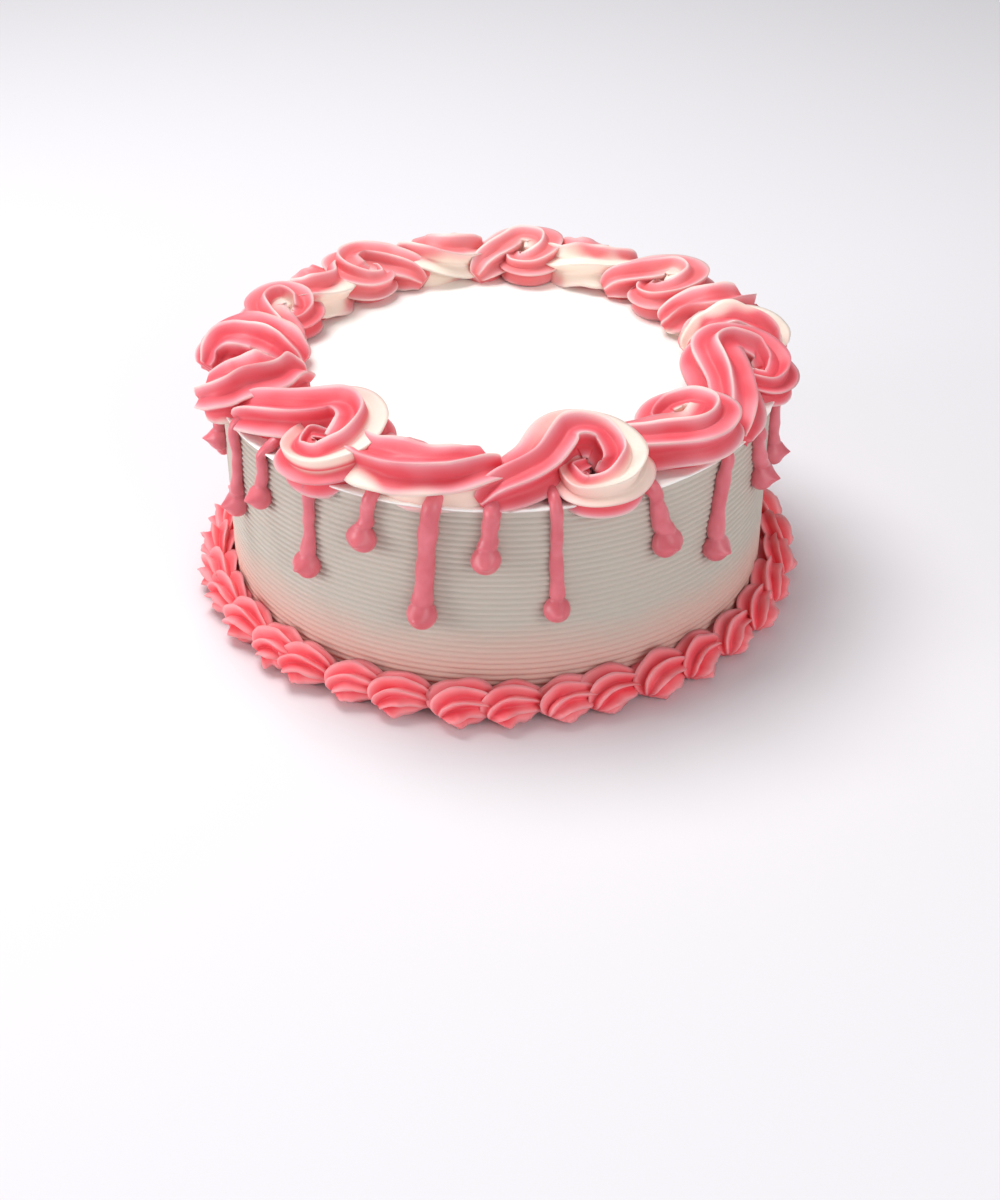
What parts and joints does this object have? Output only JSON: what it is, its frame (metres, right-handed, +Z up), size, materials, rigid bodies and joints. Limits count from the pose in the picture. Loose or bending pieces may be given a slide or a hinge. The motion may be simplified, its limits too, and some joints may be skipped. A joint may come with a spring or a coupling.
{
  "type": "birthday cake",
  "caption": "Round white buttercream birthday cake with a combed side, a pink and white piped scroll border, pink drips and a pink shell border at its foot.",
  "frame": {"origin": "Centre of the flat underside of the cake, on the surface it stands on.", "axes": "+Z up; -Y faces the front as shown; +X is the right-hand side seen from the front."},
  "size_m": [0.232, 0.232, 0.1031],
  "materials": {
    "white_buttercream": "satin",
    "two_tone_buttercream": "satin",
    "pink_buttercream": "satin"
  },
  "bodies": {
    "root": {"cake_body": "white_buttercream", "scroll_01": "two_tone_buttercream", "scroll_02": "two_tone_buttercream", "scroll_03": "two_tone_buttercream", "scroll_04": "two_tone_buttercream", "scroll_05": "two_tone_buttercream", "scroll_06": "two_tone_buttercream", "scroll_07": "two_tone_buttercream", "scroll_08": "two_tone_buttercream", "scroll_09": "two_tone_buttercream", "scroll_10": "two_tone_buttercream", "scroll_11": "two_tone_buttercream", "scroll_12": "two_tone_buttercream", "scroll_13": "two_tone_buttercream", "scroll_14": "two_tone_buttercream", "scroll_15": "two_tone_buttercream", "scroll_16": "two_tone_buttercream", "drip_01": "pink_buttercream", "drip_02": "pink_buttercream", "drip_03": "pink_buttercream", "drip_04": "pink_buttercream", "drip_05": "pink_buttercream", "drip_06": "pink_buttercream", "drip_07": "pink_buttercream", "drip_08": "pink_buttercream", "drip_09": "pink_buttercream", "drip_10": "pink_buttercream", "drip_11": "pink_buttercream", "drip_12": "pink_buttercream", "drip_13": "pink_buttercream", "drip_14": "pink_buttercream", "drip_15": "pink_buttercream", "drip_16": "pink_buttercream", "drip_17": "pink_buttercream", "drip_18": "pink_buttercream", "drip_19": "pink_buttercream", "drip_20": "pink_buttercream", "drip_21": "pink_buttercream", "shells_01": "pink_buttercream", "shells_02": "pink_buttercream", "shells_03": "pink_buttercream", "shells_04": "pink_buttercream", "shells_05": "pink_buttercream", "shells_06": "pink_buttercream", "shells_07": "pink_buttercream", "shells_08": "pink_buttercream", "shells_09": "pink_buttercream", "shells_10": "pink_buttercream", "shells_11": "pink_buttercream", "shells_12": "pink_buttercream"}
  },
  "joints": []
}
